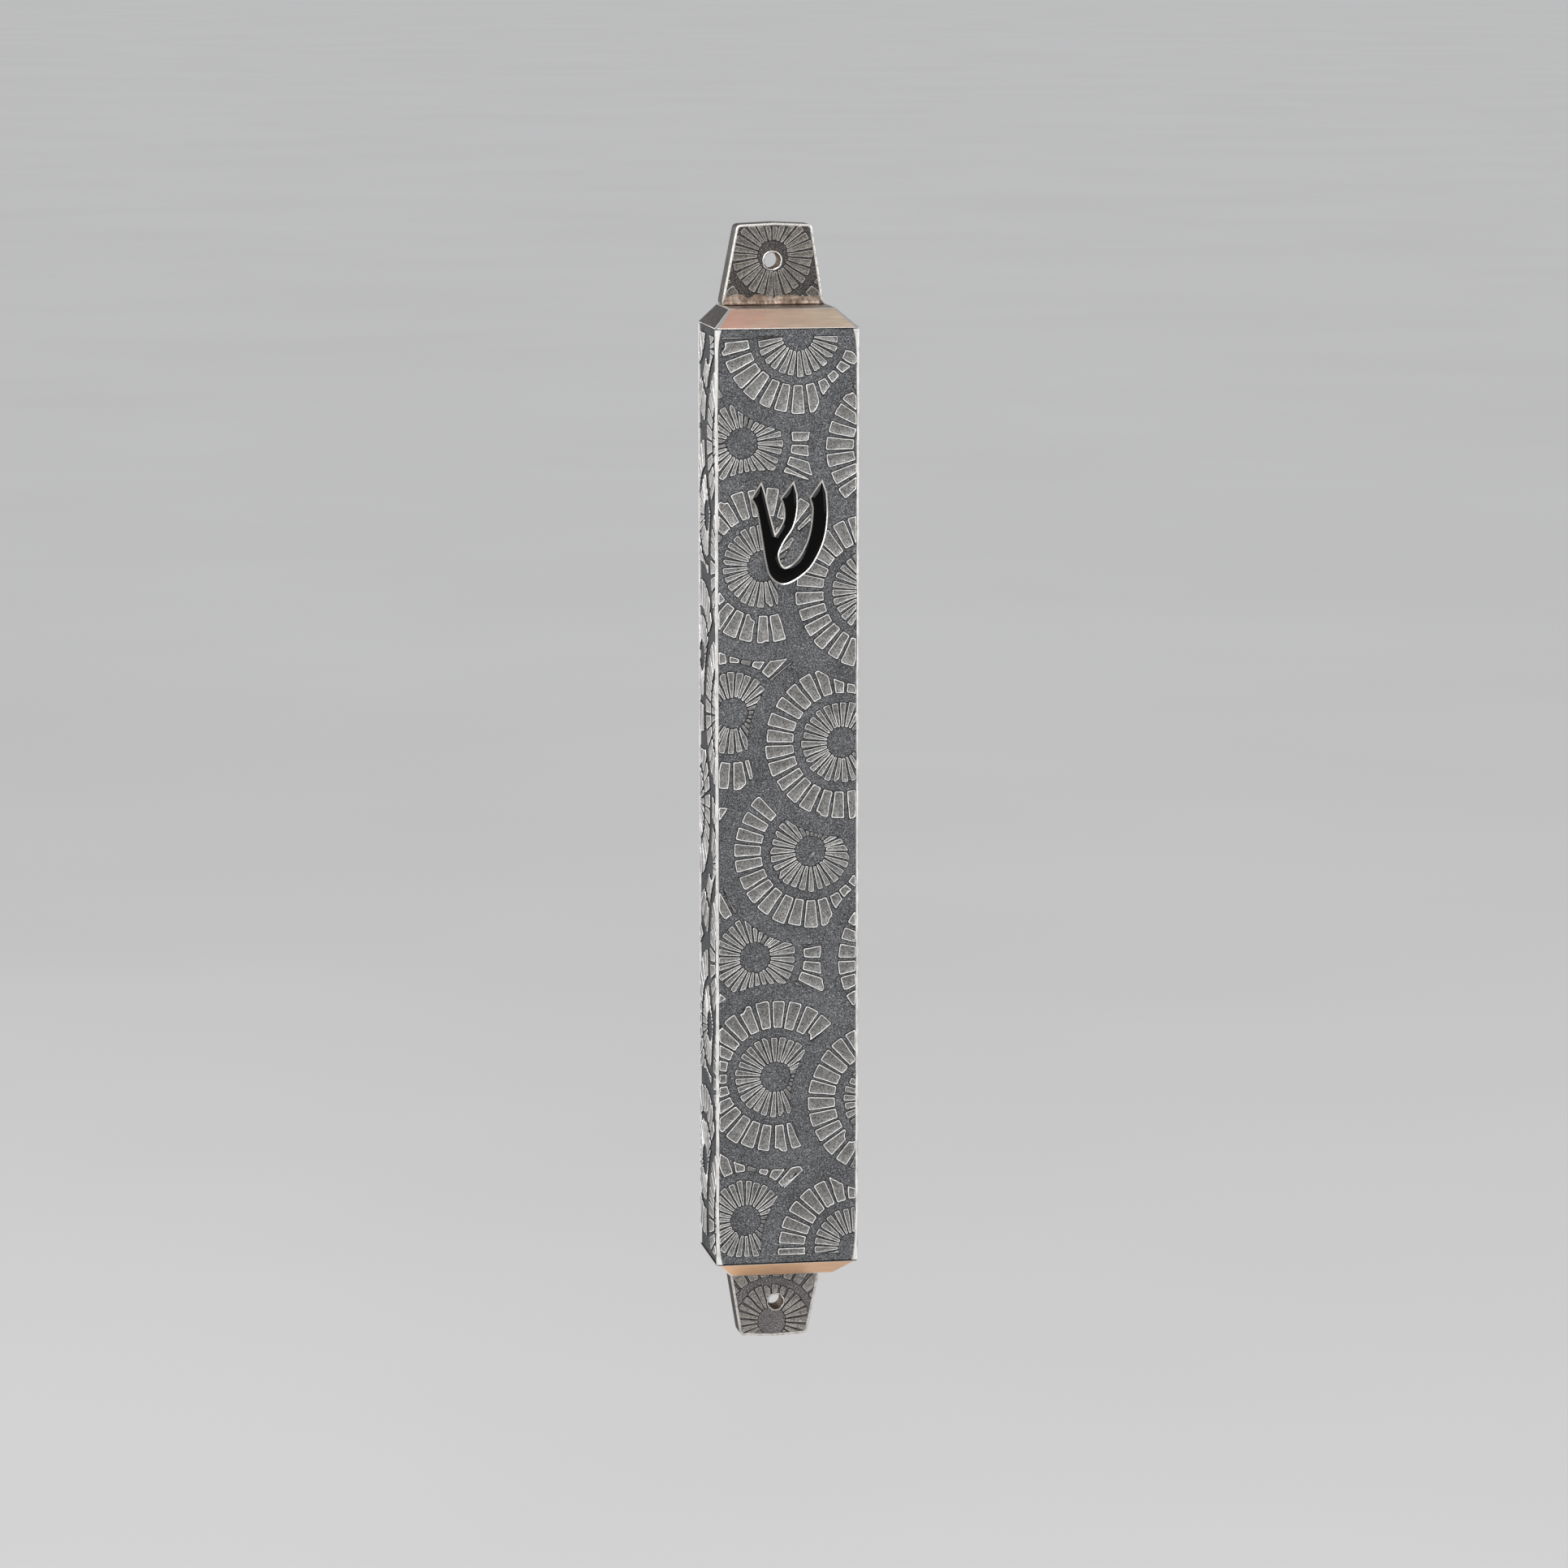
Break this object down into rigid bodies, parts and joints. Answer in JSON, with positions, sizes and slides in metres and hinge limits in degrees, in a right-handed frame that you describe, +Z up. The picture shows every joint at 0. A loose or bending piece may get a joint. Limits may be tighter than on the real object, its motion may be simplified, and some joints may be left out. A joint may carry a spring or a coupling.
{
  "type": "mezuzah case",
  "caption": "Slim rectangular metal mezuzah case with etched front and sides, sloped ends, drilled nail tabs and a push-in bottom plug that releases a rolled parchment.",
  "frame": {"origin": "middle of the back sheet, in the plane that lies against the door post", "axes": "+Z up along the case, +X to the right of someone facing it, -Y out of the etched front"},
  "size_m": [0.0164, 0.0127, 0.1287],
  "materials": {
    "etched_silver": "etched and oxidised, with polished high spots",
    "polished_silver": "filed and polished, faint warm tarnish",
    "plain_silver": "plain brushed sheet",
    "black_enamel": "opaque, glossy",
    "parchment": "matte, cream",
    "paper": "matte, off-white"
  },
  "bodies": {
    "case": {"case_channel": "etched_silver", "back_sheet": "plain_silver", "top_cap": "polished_silver", "top_tab": "etched_silver", "letter_border": "polished_silver", "letter_enamel": "black_enamel"},
    "plug": {"bottom_cap": "polished_silver", "bottom_tab": "etched_silver", "plug_collar": "plain_silver"},
    "scroll": {"parchment_scroll": "parchment", "paper_band": "paper"}
  },
  "joints": [
    {"name": "plug_slide", "type": "slide", "parent": "case", "child": "plug", "axis": [0, 0, -1], "range_m": [0, 0.11]},
    {"name": "scroll_lift", "type": "slide", "parent": "plug", "child": "scroll", "axis": [0, 0, 1], "range_m": [0, 0.005]}
  ]
}
